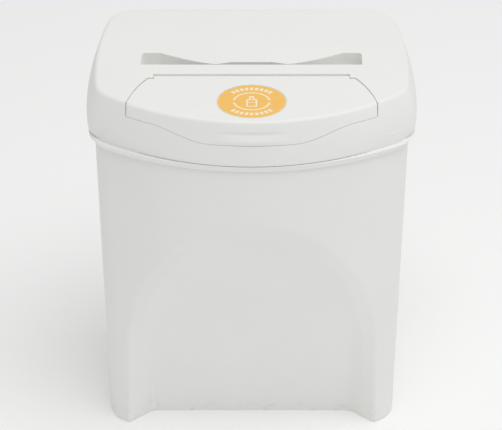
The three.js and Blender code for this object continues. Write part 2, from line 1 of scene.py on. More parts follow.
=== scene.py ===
# A stackable bin for sorting household waste: a tub with an arched scoop in its front, a hinged lid, and a
# flap over the mouth that lifts by a crescent finger ledge. Metres, +Z up, the front faces -Y.
import json
import math

import bpy
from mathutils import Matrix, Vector


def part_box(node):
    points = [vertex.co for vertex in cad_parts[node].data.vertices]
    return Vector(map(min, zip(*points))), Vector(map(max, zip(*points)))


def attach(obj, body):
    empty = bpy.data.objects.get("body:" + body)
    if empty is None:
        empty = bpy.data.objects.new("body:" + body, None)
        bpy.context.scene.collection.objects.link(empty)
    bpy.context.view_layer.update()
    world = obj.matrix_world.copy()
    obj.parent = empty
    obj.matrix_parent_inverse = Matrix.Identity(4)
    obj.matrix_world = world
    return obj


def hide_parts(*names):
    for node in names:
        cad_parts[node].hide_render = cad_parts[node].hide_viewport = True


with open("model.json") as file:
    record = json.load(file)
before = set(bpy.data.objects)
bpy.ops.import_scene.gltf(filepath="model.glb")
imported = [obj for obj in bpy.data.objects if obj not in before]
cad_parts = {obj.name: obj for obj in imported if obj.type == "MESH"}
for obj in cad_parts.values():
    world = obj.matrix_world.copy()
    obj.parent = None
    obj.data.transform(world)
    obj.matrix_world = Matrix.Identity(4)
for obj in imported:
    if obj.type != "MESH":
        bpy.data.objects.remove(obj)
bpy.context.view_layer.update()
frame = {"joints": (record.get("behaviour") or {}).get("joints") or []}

MM = 0.001

# ---- sizes taken from the frame ----------------------------------------------------------------------------

tub_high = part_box("bin_body")[1]
lid_low, lid_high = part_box("lid_frame")
flap_low, flap_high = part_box("front_flap")
label_low, label_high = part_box("sorting_label")
hinge = {joint["name"]: Vector(joint["pos_m"]) for joint in frame["joints"]}

TOP = lid_high.z
BACK = lid_high.y
FRONT = flap_low.y
HALF_WIDTH = lid_high.x
NECK_TOP = tub_high.z
FLAP_TOP = flap_high.z
FLAP_DROP = TOP - FLAP_TOP
FLAP_REAR = flap_high.y
FLAP_HALF_WIDTH = flap_high.x
FLAP_AXIS = hinge["flap_hinge"]
LID_AXIS = hinge["lid_hinge"]
BARREL_RADIUS = FLAP_REAR - FLAP_AXIS.y
LIP_BOTTOM = flap_low.z
LABEL_RADIUS = (label_high.x - label_low.x) / 2
LABEL_CENTRE = (label_low + label_high) / 2

# ---- sizes of the moulding ---------------------------------------------------------------------------------

WALL = 2.4 * MM
FRONT_RADIUS = 270 * MM
SIDE_RADIUS = 600 * MM
CORNER_RADIUS = 40 * MM
CORNER_PARTS = 8
BEYOND = 60 * MM                # how far a cutter runs past what it cuts
SHARPEST_LEFT = math.radians(28)  # edges sharper than this are rounded

SKIRT_FRONT = lid_low.y
SKIRT_BOTTOM = TOP - 57 * MM
WIDEST = TOP - 45 * MM
SIDE_FLARE = 11 * MM
FRONT_FLARE = 3.9 * MM
SKIRT_TUCK = 1.4 * MM
TOP_EDGE = 3.5 * MM

SEAM = 1 * MM
FLANGE_TOP = SKIRT_BOTTOM - SEAM
FLANGE_BOTTOM = FLANGE_TOP - 8 * MM
FLANGE_TUCK = 5.5 * MM
FLANGE_CURVE = 1.15             # above 1 the tuck is rounded
FLANGE_INSET = 0.2 * MM
RIM_EDGE = 0.5 * MM
NECK_SIDE_ROOM = 4.7 * MM       # between the skirt and the neck
NECK_FRONT_ROOM = 1.8 * MM
NECK_BACK_REACH = 0.9 * MM
SHOULDER_HEIGHT = 16 * MM       # the tub's wall swells out again below the flange
SHOULDER_INSET = 2.2 * MM
TUB_TOP_HALF = HALF_WIDTH - 8.8 * MM
TUB_TOP_FRONT = SKIRT_FRONT + 3.7 * MM
TUB_TOP_BACK = BACK - 10 * MM
SIDE_DRAFT = 0.0253
FRONT_DRAFT = 0.0086
BACK_DRAFT = 0.0117
FLOOR_UNDERSIDE = 5 * MM
FOOT_RIM = 4 * MM
FOOT_EDGE = 1.6 * MM

SCOOP_HALF = 152 * MM
SCOOP_SPRING = 110 * MM
SCOOP_TOP = FLANGE_BOTTOM - 71 * MM
SCOOP_DEPTH = 73 * MM
SCOOP_FLANK = 27 * MM
SCOOP_STEP = 4 * MM
SCOOP_SHOULDER = 12 * MM
SCOOP_BOW = 0.24
SCOOP_BLEND = 6 * MM            # how softly the scoop leaves the front wall
SCOOP_RAMP_BLEND = 0.16

EDGE_GAP = 0.55 * MM
LIP_GAP = 0.5 * MM
BACKING_GAP = 0.8 * MM
BARREL_HALF = 115 * MM
BARREL_END = 28 * MM
EAR_WIDTH = 7 * MM
EAR_GAP = 2.4 * MM              # the flap's shoulder swings past the ear
EAR_DEPTH = 11 * MM
SHOULDER_HALF = 121.5 * MM
LIP_END = TOP - 16 * MM
LIP_MIDDLE_HALF = 50 * MM
LIP_SHALLOW_HALF = 120 * MM
LEDGE_HALF = 55 * MM
GROOVE_RADIUS = 380 * MM
GROOVE_HALF = 1.4 * LEDGE_HALF
LABEL_MARGIN = 0.8 * MM
SEAT_BORDER = 4 * MM
SEAT_THICKNESS = 3 * MM
SEAT_WIDTH = 12 * MM
MOUTH_INSET = 18 * MM

BRIDGE_FRONT = FLAP_REAR + BACKING_GAP
BRIDGE_WIDTH = 23.7 * MM
POCKET_FRONT = BRIDGE_FRONT + BRIDGE_WIDTH
POCKET_HALF = 131 * MM
POCKET_REACH = 30 * MM
POCKET_DEPTH = 24 * MM
POCKET_WALL = 2.2 * MM
POCKET_CORNER = 22 * MM
POCKET_CHAMFER = 3 * MM
TONGUE_HALF = 42 * MM
TONGUE_GAP = 1.2 * MM
NOTCH_HALF = 24 * MM
NOTCH_GAP = 6.5 * MM

HINGE_X = 105 * MM
HINGE_RADIUS = 4.5 * MM
HINGE_KNUCKLE = 14 * MM
HINGE_ARM = 9.4 * MM
HINGE_GAP = 0.6 * MM
KNUCKLE_WEB = 22 * MM           # how far the web runs down the tub from the pin
ARM_BACKSET = 1 * MM
ARM_ROOT = 6 * MM               # how far the arm runs up inside the skirt
PIN_RADIUS = 2 * MM
BORE_RADIUS = PIN_RADIUS + 0.3 * MM
PIN_HEAD_RADIUS = 3.6 * MM
PIN_HEAD = 1.5 * MM
PIN_CHAMFER = 0.5 * MM
HEAD_CHAMFER = 0.3 * MM
RING_EDGE = 0.6 * MM
RING_LIFT = 0.3 * MM
RING_ROOM = 1.2 * MM            # between the tub's wall and the ring's skirt
RING_WALL = 2 * MM

# ---- working by hand ---------------------------------------------------------------------------------------


def start(name):
    """A new piece, in edit mode, that is a single vertex at the origin."""
    bpy.ops.object.select_all(action="DESELECT")
    bpy.ops.mesh.primitive_plane_add(size=MM)
    piece = bpy.context.object
    piece.name = name
    bpy.ops.object.mode_set(mode="EDIT")
    bpy.context.tool_settings.mesh_select_mode = (True, False, False)
    bpy.ops.mesh.merge(type="CENTER")
    return piece


def move(by):
    bpy.ops.transform.translate(value=by)


def pull(by):
    """Extrudes what is selected and moves it."""
    bpy.ops.mesh.extrude_region_move(TRANSFORM_OT_translate={"value": by})


def fill_outline():
    bpy.ops.mesh.select_all(action="SELECT")
    bpy.ops.mesh.remove_doubles(threshold=0.01 * MM)
    bpy.ops.mesh.edge_face_add()


def finish_solid(piece):
    """Faces point outwards, and the piece is left in object mode."""
    bpy.ops.mesh.select_all(action="SELECT")
    bpy.ops.mesh.remove_doubles(threshold=0.001 * MM)
    bpy.ops.mesh.normals_make_consistent(inside=False)
    bpy.ops.object.mode_set(mode="OBJECT")
    return piece


def run_round(outline):
    """Draws a closed outline vertex by vertex from the starting one, and fills it."""
    move(outline[0])
    for here, there in zip(outline, [*outline[1:], outline[0]]):
        pull(there - here)
    fill_outline()


def up(height):
    return Vector((0, 0, height))


def slab(name, outline, along):
    """A straight-sided block."""
    piece = start(name)
    run_round(outline)
    pull(along)
    return finish_solid(piece)


def block(name, x0, x1, y0, y1, z0, z1):
    corners = [(x0, y0), (x1, y0), (x1, y1), (x0, y1)]
    return slab(name, [Vector((x, y, z0)) for x, y in corners], up(z1 - z0))


def bar(name, radius, length, centre, sides=48):
    """A round bar along X."""
    bpy.ops.object.select_all(action="DESELECT")
    bpy.ops.mesh.primitive_cylinder_add(
        vertices=sides, radius=radius, depth=length, location=centre, rotation=(0, math.pi / 2, 0)
    )
    piece = bpy.context.object
    piece.name = name
    bpy.ops.object.transform_apply(location=True, rotation=True, scale=True)
    return piece


def combine(operation, piece, *others):
    """Joins, cuts or intersects a piece with others that are then thrown away."""
    for other in others:
        step = piece.modifiers.new(operation.lower(), "BOOLEAN")
        step.operation = operation
        step.solver = "EXACT"
        step.object = other
        bpy.ops.object.select_all(action="DESELECT")
        bpy.context.view_layer.objects.active = piece
        bpy.ops.object.modifier_apply(modifier=step.name)
        bpy.data.objects.remove(other)
    return piece


def join(piece, *others):
    return combine("UNION", piece, *others)


def cut(piece, *others):
    return combine("DIFFERENCE", piece, *others)


def keep_inside(piece, *others):
    return combine("INTERSECT", piece, *others)


def choose(piece):
    bpy.ops.object.select_all(action="DESELECT")
    bpy.context.view_layer.objects.active = piece
    piece.select_set(True)


def soften(piece, width):
    """Rounds a moulding's edges a little and keeps its flat faces flat."""
    choose(piece)
    bpy.ops.object.mode_set(mode="EDIT")
    bpy.ops.mesh.select_all(action="SELECT")
    bpy.ops.mesh.remove_doubles(threshold=0.02 * MM)
    bpy.ops.mesh.dissolve_degenerate(threshold=0.02 * MM)
    bpy.ops.mesh.dissolve_limited(angle_limit=math.radians(0.1))
    bpy.ops.mesh.normals_make_consistent(inside=False)
    bpy.ops.object.mode_set(mode="OBJECT")
    edge = piece.modifiers.new("edges", "BEVEL")
    edge.width = width
    edge.segments = 2
    edge.limit_method = "ANGLE"
    edge.angle_limit = SHARPEST_LEFT
    edge.use_clamp_overlap = True
    edge.miter_outer = "MITER_ARC"
    bpy.ops.object.modifier_apply(modifier=edge.name)
    smooth(piece)


def smooth(piece, angle=40):
    choose(piece)
    bpy.ops.object.shade_smooth_by_angle(angle=math.radians(angle))
    flat = piece.modifiers.new("flat faces", "WEIGHTED_NORMAL")
    flat.mode = "FACE_AREA"
    flat.weight = 50
    flat.keep_sharp = True
    bpy.ops.object.modifier_apply(modifier=flat.name)


# ---- the bowed plan that the tub and the lid share ---------------------------------------------------------


def sag(offset, radius):
    return radius - math.sqrt(radius * radius - offset * offset)


def inset(section, by):
    half_width, front, back = section
    return (half_width - by, front + by, back - by)


def bowed_plan(name, section, z, front_parts=30, side_parts=16):
    """A flat face with a bowed front, bowed sides and round corners, left selected in edit mode."""
    half_width, front, back = section
    nose = Vector((0, front + FRONT_RADIUS, z))
    flank = Vector((half_width - SIDE_RADIUS, 0, z))
    to_flank = flank.xy - nose.xy
    apart = to_flank.length
    near = FRONT_RADIUS - CORNER_RADIUS
    far = SIDE_RADIUS - CORNER_RADIUS
    along = (apart * apart + near * near - far * far) / (2 * apart)
    aside = math.sqrt(near * near - along * along)
    ahead = to_flank / apart
    corner = nose.xy + ahead * along + Vector((-ahead.y, ahead.x)) * aside
    rear = Vector((flank.x + math.sqrt(far * far - (back - CORNER_RADIUS) ** 2), back - CORNER_RADIUS))
    front_end = math.atan2(corner.y - nose.y, corner.x - nose.x)
    side_start = math.atan2(corner.y - flank.y, corner.x - flank.x)
    side_end = math.atan2(rear.y - flank.y, rear.x - flank.x)
    arcs = [
        (nose, front_end + math.pi / 2, front_parts),
        (Vector((*corner, z)), side_start - front_end, CORNER_PARTS),
        (flank, side_end - side_start, side_parts),
        (Vector((*rear, z)), math.pi / 2 - side_end, CORNER_PARTS),
    ]
    piece = start(name)
    move((0, front, z))
    for centre, turn, parts in arcs:
        bpy.ops.mesh.spin(steps=parts, angle=-turn, center=centre, axis=(0, 0, 1))
    pull((-rear.x, 0, 0))
    bpy.ops.mesh.select_all(action="SELECT")
    bpy.ops.mesh.duplicate()
    bpy.ops.transform.resize(value=(-1, 1, 1), center_override=(0, 0, 0))
    fill_outline()
    return piece


def climb(start_level, levels):
    """Pulls the selected face through levels, each a plan size and a height."""
    (half_width, front, back), z = start_level
    for section, height in levels:
        next_half, next_front, next_back = section
        stretch = (next_back - next_front) / (back - front)
        pull((0, 0, height - z))
        bpy.ops.transform.resize(
            value=(next_half / half_width, stretch, 1), center_override=(0, 0, 0)
        )
        move((0, next_front - front * stretch, 0))
        (half_width, front, back), z = section, height


def stack(name, levels):
    """A solid whose plan changes with height."""
    piece = bowed_plan(name, *levels[0])
    climb(levels[0], levels[1:])
    return finish_solid(piece)


# ---- the tub -----------------------------------------------------------------------------------------------


def tub_section(z):
    down = FLANGE_BOTTOM - z
    return (
        TUB_TOP_HALF - down * SIDE_DRAFT,
        TUB_TOP_FRONT + down * FRONT_DRAFT,
        TUB_TOP_BACK - down * BACK_DRAFT,
    )


def shouldered(z):
    """The outside of the tub, which swells out below the flange."""
    half_width, front, back = tub_section(z)
    swell = SHOULDER_INSET * max(0, 1 - (FLANGE_BOTTOM - z) / SHOULDER_HEIGHT) ** 2
    return (half_width - swell / 2, front + swell, back)


def lid_section(z):
    down = TOP - z
    flare = math.sin(math.pi / 2 * min(1, down / (TOP - WIDEST)))
    tuck = SKIRT_TUCK * (max(0, WIDEST - z) / (WIDEST - SKIRT_BOTTOM)) ** 2
    edge = sag(max(0, min(TOP_EDGE, TOP_EDGE - down)), TOP_EDGE)
    return (
        HALF_WIDTH - SIDE_FLARE * (1 - flare) - tuck - edge,
        SKIRT_FRONT + FRONT_FLARE * (1 - flare) + tuck / 3 + edge,
        BACK - edge,
    )


def soft_least(a, b, width):
    return (a + b - math.sqrt((a - b) ** 2 + width * width)) / 2


def ease(share):
    share = min(1, max(0, share))
    return share * share * (3 - 2 * share)


def scoop_wall(z):
    """Where the scoop's back wall stands at a height: it leans out to meet the front at the arch's top."""
    foremost = tub_section(0)[1]
    share = z / SCOOP_TOP
    lean = tub_section(SCOOP_TOP)[1] - foremost - SCOOP_DEPTH
    return foremost + SCOOP_DEPTH + lean * ((1 - SCOOP_BOW) * share + SCOOP_BOW * share * share)


def scoop_depth(place, grow):
    """How far the scoop is pressed in behind the front wall. grow widens it for the inside of the wall."""
    rise = max(0, place.z - SCOOP_SPRING)
    arch = SCOOP_TOP - SCOOP_SPRING
    reach = max(math.hypot(place.x / SCOOP_HALF, rise / arch), 1e-4)
    slope = max(math.hypot(place.x / SCOOP_HALF**2, rise / arch**2) / reach, 1 / (2 * arch))
    inside = (1 - reach) / slope + grow
    if inside <= 0:
        return 0
    step = SCOOP_STEP * math.sqrt(max(0, 1 - place.z / SCOOP_TOP))
    deep = -soft_least(place.y - scoop_wall(place.z), -step, SCOOP_BLEND)
    ramp = soft_least(inside / SCOOP_FLANK, 1, SCOOP_RAMP_BLEND)
    return step * ease(inside / SCOOP_SHOULDER) + (deep - step) * max(0, ramp)


def press_scoop(piece, first, grow):
    for vertex in piece.data.vertices[first:]:
        if vertex.co.y < 0 and vertex.co.z < SCOOP_TOP:
            vertex.co.y += scoop_depth(vertex.co, grow)


def spread(low, high, parts):
    return [low + (high - low) * i / parts for i in range(parts + 1)]


def make_tub():
    foot = [(inset(tub_section(0), FOOT_EDGE * (1 - math.sin(a))), FOOT_EDGE * (1 - math.cos(a)))
            for a in spread(0, math.pi / 2, 4)]
    walls = [(shouldered(z), z) for z in [*spread(FOOT_EDGE, SCOOP_TOP, 112)[1:],
                                          *spread(SCOOP_TOP, FLANGE_BOTTOM - SHOULDER_HEIGHT, 5)[1:],
                                          *spread(FLANGE_BOTTOM - SHOULDER_HEIGHT, FLANGE_BOTTOM, 8)[1:]]]
    tub = bowed_plan("tub", *foot[0], front_parts=62, side_parts=20)
    climb(foot[0], foot[1:] + walls)

    # The rim flange draws in towards its lower edge, and the neck stands on it inside the skirt.
    half_top, front_top, _ = inset(lid_section(SKIRT_BOTTOM), FLANGE_INSET)
    flange = []
    for share in spread(0, 1, 6):
        draw = FLANGE_TUCK * (1 - share) ** FLANGE_CURVE
        section = (half_top - draw, front_top + draw / 2, TUB_TOP_BACK)
        flange.append((section, FLANGE_BOTTOM + (FLANGE_TOP - RIM_EDGE - FLANGE_BOTTOM) * share))
    flange.append((inset(flange[-1][0], RIM_EDGE), FLANGE_TOP))
    neck_half, neck_front = lid_section(NECK_TOP)[0], lid_section(SKIRT_BOTTOM)[1]
    neck = (
        neck_half - WALL - NECK_SIDE_ROOM,
        neck_front + WALL + NECK_FRONT_ROOM,
        TUB_TOP_BACK + NECK_BACK_REACH,
    )
    rim = [(neck, FLANGE_TOP), (neck, NECK_TOP - RIM_EDGE), (inset(neck, RIM_EDGE), NECK_TOP)]
    climb(walls[-1], flange + rim)
    bpy.ops.object.mode_set(mode="OBJECT")
    press_scoop(tub, 0, 0)

    # The inside, down to the floor.
    first_inside = len(tub.data.vertices)
    bpy.ops.object.mode_set(mode="EDIT")
    heights = [NECK_TOP, *spread(SCOOP_TOP + 60 * MM, SCOOP_TOP, 3),
               *spread(SCOOP_TOP, FLOOR_UNDERSIDE + WALL, 54)[1:]]
    climb(rim[-1], [(inset(tub_section(z), WALL), z) for z in heights])
    bpy.ops.object.mode_set(mode="OBJECT")
    press_scoop(tub, first_inside, WALL)

    # The underside is recessed inside the foot rim.
    bpy.ops.object.mode_set(mode="EDIT")
    bpy.ops.mesh.select_all(action="DESELECT")
    bpy.context.tool_settings.mesh_select_mode = (False, False, True)
    bpy.ops.object.mode_set(mode="OBJECT")
    for face in tub.data.polygons:
        face.select = abs(face.center.z) < 0.1 * MM and face.area > 0.01
    bpy.ops.object.mode_set(mode="EDIT")
    bpy.ops.mesh.inset(thickness=FOOT_RIM - FOOT_EDGE, depth=0)
    pull((0, 0, FLOOR_UNDERSIDE))
    finish_solid(tub)

    for side in (-1, 1):
        join(tub, tub_knuckle(side * HINGE_X))
    for side in (-1, 1):
        cut(tub, bar("bore", BORE_RADIUS, BEYOND, (side * HINGE_X, LID_AXIS.y, LID_AXIS.z)))
    smooth(tub, angle=50)
    return tub


def tub_knuckle(centre):
    """The web and round end that carry the lid's hinge pin."""
    wall = TUB_TOP_BACK - WALL / 2
    outline = [Vector((0, wall, LID_AXIS.z - KNUCKLE_WEB))]
    for angle in spread(-0.7, math.pi / 2, 14):
        outline.append(Vector((0, LID_AXIS.y + HINGE_RADIUS * math.cos(angle),
                               LID_AXIS.z + HINGE_RADIUS * math.sin(angle))))
    outline.append(Vector((0, wall, LID_AXIS.z + HINGE_RADIUS)))
    low = Vector((centre - HINGE_KNUCKLE / 2, 0, 0))
    return slab("knuckle", [low + p for p in outline], Vector((HINGE_KNUCKLE, 0, 0)))


# ---- the lid's forms ---------------------------------------------------------------------------------------


def lid_form(name):
    edge = [TOP - TOP_EDGE * (1 - math.sin(a)) for a in spread(0, math.pi / 2, 6)]
    heights = [*spread(SKIRT_BOTTOM, TOP - TOP_EDGE, 14)[:-1], *edge]
    return stack(name, [(lid_section(z), z) for z in heights])


def lid_core(by, top):
    """The same form drawn in all round by a wall."""
    levels = []
    for z in spread(SKIRT_BOTTOM - 1 * MM, top, 12):
        within = min(max(z, SKIRT_BOTTOM), TOP - TOP_EDGE)
        levels.append((inset(lid_section(within), by), z))
    return stack("lid core", levels)


def both_halves(half):
    """Points of the right half, front to back, followed by the left half."""
    left = [Vector((-p.x, p.y, p.z)) for p in reversed(half[1:-1])]
    return [*half, *left]


def bend(begin, middle, end, parts):
    """A quadratic curve from begin to end, pulled towards the middle."""
    curve = []
    for t in spread(0, 1, parts):
        curve.append(begin * (1 - t) ** 2 + middle * 2 * t * (1 - t) + end * t * t)
    return curve


def flap_plan(grow, z):
    """The flap's plan: notched round the ears, then widening to the front in a shallow curve."""
    front = lid_section(TOP - TOP_EDGE)[1] + sag(FLAP_HALF_WIDTH, FRONT_RADIUS)
    shoulder = FLAP_REAR - EAR_DEPTH + (EAR_GAP if grow else 0)
    rear = max(FLAP_AXIS.y, BRIDGE_FRONT + 1 * MM if grow else FLAP_AXIS.y)
    half = [Vector((0, FRONT - BEYOND, z)), Vector((FLAP_HALF_WIDTH + grow, FRONT - BEYOND, z))]
    half += bend(
        Vector((FLAP_HALF_WIDTH + grow, front, z)),
        Vector((FLAP_HALF_WIDTH - 6 * MM + grow, (front + shoulder) / 2 + 4 * MM, z)),
        Vector((SHOULDER_HALF + grow, shoulder, z)),
        12,
    )
    half += [Vector((BARREL_HALF + grow, y, z)) for y in (shoulder, rear)]
    return both_halves([*half, Vector((0, rear, z))])


def lip_height(x):
    share = (abs(x) - LIP_MIDDLE_HALF) / (LIP_SHALLOW_HALF - LIP_MIDDLE_HALF)
    rise = (1 - math.cos(math.pi * min(1, max(0, share)))) / 2
    return LIP_BOTTOM + (LIP_END - LIP_BOTTOM) * rise


def lip_curtain(grow, top, rear=FLAP_REAR - 4 * EAR_DEPTH):
    """Everything above the lip's lower edge, which is deep in the middle and shallow at its ends."""
    half = FLAP_HALF_WIDTH + grow
    outline = [Vector((half, FRONT - BEYOND, top)), Vector((-half, FRONT - BEYOND, top))]
    for x in spread(-half, half, 48):
        outline.append(Vector((x, FRONT - BEYOND, lip_height(x) - grow)))
    return slab("lip curtain", outline, Vector((0, rear - FRONT + BEYOND, 0)))


def mouth_plan(z):
    reach = FLAP_HALF_WIDTH - 1.5 * SEAT_WIDTH
    front = lid_section(TOP - TOP_EDGE)[1] + MOUTH_INSET
    half = [Vector((x, front + sag(x, FRONT_RADIUS), z)) for x in spread(0, reach, 16)]
    half.append(half[-1] + Vector((0, 8 * MM, 0)))
    half.append(Vector((SHOULDER_HALF - SEAT_WIDTH, FLAP_REAR - EAR_DEPTH - 10 * MM, z)))
    barrel_room = BARREL_HALF + EDGE_GAP
    half += [Vector((barrel_room, FLAP_REAR - EAR_DEPTH, z)), Vector((barrel_room, BRIDGE_FRONT, z))]
    return both_halves([*half, Vector((0, BRIDGE_FRONT, z))])


def tongue_edge(x):
    """Front edge of the panel behind the pocket, which reaches forward in the middle."""
    if x < TONGUE_HALF:
        share = min(1, max(0, (x - NOTCH_HALF) / (TONGUE_HALF - NOTCH_HALF)))
        return POCKET_FRONT + NOTCH_GAP + (TONGUE_GAP - NOTCH_GAP) * share
    share = (x - TONGUE_HALF) / (POCKET_HALF - POCKET_CORNER - TONGUE_HALF)
    return POCKET_FRONT + TONGUE_GAP + (POCKET_REACH - TONGUE_GAP) * min(1, share) ** 1.4


def pocket_plan(grow, z):
    rear = POCKET_FRONT + POCKET_REACH + grow
    side = POCKET_HALF + grow
    half = [Vector((0, POCKET_FRONT - grow, z)), Vector((side, POCKET_FRONT - grow, z))]
    half += [Vector((side, rear - POCKET_CHAMFER, z)), Vector((side - POCKET_CHAMFER, rear, z))]
    for x in spread(POCKET_HALF - POCKET_CORNER, TONGUE_HALF, 20):
        half.append(Vector((x, tongue_edge(x) + grow, z)))
    half += [Vector((x, tongue_edge(x) + grow, z)) for x in (NOTCH_HALF, 0)]
    return both_halves(half)


def hinge_arm(x0, x1):
    """An arm that hangs from the rear skirt and ends in a round eye."""
    outline = [Vector((x0, LID_AXIS.y - ARM_BACKSET, LID_AXIS.z))]
    for angle in spread(-math.pi, 0, 20):
        outline.append(Vector((x0, LID_AXIS.y + HINGE_RADIUS * math.cos(angle),
                               LID_AXIS.z + HINGE_RADIUS * math.sin(angle))))
    outline.append(Vector((x0, LID_AXIS.y + HINGE_RADIUS, SKIRT_BOTTOM + ARM_ROOT)))
    outline.append(Vector((x0, LID_AXIS.y - ARM_BACKSET, SKIRT_BOTTOM + ARM_ROOT)))
    return slab("hinge arm", outline, Vector((x1 - x0, 0, 0)))


def make_lid():
    flap_floor = FLAP_TOP - WALL - BACKING_GAP
    lid = cut(lid_form("lid"), lid_core(WALL, FLAP_TOP - WALL))

    # A second wall behind the flap's lip, a seat under its plate, and an ear at each end of its barrel.
    backing = keep_inside(lip_curtain(SEAT_BORDER, TOP - 1 * MM), lid_core(WALL / 2, TOP))
    cut(backing, lid_core(2 * WALL + BACKING_GAP, TOP))
    seat_bottom = flap_floor - SEAT_THICKNESS
    seat = slab("seat", flap_plan(SEAT_BORDER, seat_bottom), up(TOP - 1 * MM - seat_bottom))
    keep_inside(seat, lid_core(WALL / 2, TOP), block("seat room", -HALF_WIDTH, HALF_WIDTH, FRONT,
                                                     BRIDGE_FRONT + 2 * MM, seat_bottom - 1 * MM, TOP))
    join(lid, backing, seat)
    for side in (-1, 1):
        ear_start = BARREL_HALF + EDGE_GAP
        ends = sorted((side * ear_start, side * (ear_start + EAR_WIDTH + SEAT_BORDER)))
        join(lid, block("ear", *ends, FLAP_REAR - EAR_DEPTH + 1 * MM, BRIDGE_FRONT + 4 * MM,
                        FLAP_AXIS.z - BARREL_RADIUS - 2 * MM, TOP - 1 * MM))

    # Room for the flap and its lip, and the mouth that waste goes through.
    room = slab("flap room", flap_plan(EDGE_GAP, flap_floor), up(TOP + 1 * MM - flap_floor))
    keep_inside(room, block("in front of the bridge", -HALF_WIDTH, HALF_WIDTH, FRONT - BEYOND, BRIDGE_FRONT,
                            0, TOP + 2 * MM))
    lip_room = lip_curtain(LIP_GAP, TOP + 1 * MM)
    cut(lip_room, lid_core(BACKING_GAP + WALL, TOP + 2 * MM))
    mouth = slab("mouth", mouth_plan(SKIRT_BOTTOM), up(TOP + 1 * MM - SKIRT_BOTTOM))
    cut(lid, room, lip_room, mouth)

    # The grip pocket is a bowl hung under the top.
    join(lid, slab("pocket bowl", pocket_plan(POCKET_WALL, TOP - POCKET_DEPTH), up(POCKET_DEPTH - 1 * MM)))
    pocket_floor = TOP - POCKET_DEPTH + POCKET_WALL
    cut(lid, slab("pocket", pocket_plan(0, pocket_floor), up(TOP + 1 * MM - pocket_floor)))

    for side in (-1, 1):
        bore_x = side * (HINGE_X + 12 * MM)
        cut(lid, bar("flap bore", BORE_RADIUS, BEYOND, (bore_x, FLAP_AXIS.y, FLAP_AXIS.z)))
        inner = HINGE_KNUCKLE / 2 + HINGE_GAP
        for way in (-1, 1):
            ends = [side * HINGE_X + way * reach for reach in (inner, inner + HINGE_ARM)]
            join(lid, hinge_arm(*sorted(ends)))
        cut(lid, bar("lid bore", BORE_RADIUS, BEYOND, (side * HINGE_X, LID_AXIS.y, LID_AXIS.z)))
    soften(lid, 0.5 * MM)
    return lid


# ---- the flap ----------------------------------------------------------------------------------------------


def ledge_ring(above, draw):
    """Plan of the finger ledge at one height: a crescent that runs out into the lip at both ends."""
    z = LIP_BOTTOM + above
    face = lid_section(z)[1]
    ends = face + sag(LEDGE_HALF, FRONT_RADIUS) + 0.6 * MM
    nose = FRONT + draw
    half = [Vector((x, nose + (ends - nose) * (x / LEDGE_HALF) ** 2, z)) for x in spread(0, LEDGE_HALF, 14)]
    half += [Vector((x, face + sag(x, FRONT_RADIUS) + WALL / 2, z)) for x in spread(LEDGE_HALF, 0, 14)]
    return both_halves(half)


def groove_ring(above, depth):
    """Plan of the groove over the ledge at one height. It is flatter than the lip, so its ends run out."""
    z = LIP_BOTTOM + above
    deepest = lid_section(z)[1] + depth
    half = [Vector((0, FRONT - BEYOND, z)), Vector((GROOVE_HALF, FRONT - BEYOND, z))]
    half += [Vector((x, deepest + sag(x, GROOVE_RADIUS), z)) for x in spread(GROOVE_HALF, 0, 20)]
    return both_halves(half)


def crescent(name, rings):
    """A solid run up through rings that have the same number of points."""
    piece = start(name)
    run_round(rings[0])
    for ring, following in zip(rings, rings[1:]):
        pull((0, 0, 0))
        bpy.ops.object.mode_set(mode="OBJECT")
        for vertex in (v for v in piece.data.vertices if v.select):
            nearest = min(range(len(ring)), key=lambda i: (ring[i] - vertex.co).length)
            vertex.co = following[nearest]
        bpy.ops.object.mode_set(mode="EDIT")
    return finish_solid(piece)


def finger_ledge():
    # Height above the lip's lower edge and how far the ledge is drawn in there, in millimetres.
    profile = [(0.4, 2), (1.2, 0.6), (2.5, 0.1), (5, 0), (6.4, 0.3), (13.4, 3.4)]
    return crescent("finger ledge", [ledge_ring(above * MM, draw * MM) for above, draw in profile])


def finger_groove():
    # Height above the lip's lower edge and how deep the groove is there, in millimetres.
    profile = [(9, -0.8), (10.5, 0.2), (12, 0.95), (13.4, 1.35),
               (14.6, 1.3), (16, 0.75), (17.6, 0), (19, -0.8)]
    return crescent("finger groove", [groove_ring(above * MM, depth * MM) for above, depth in profile])


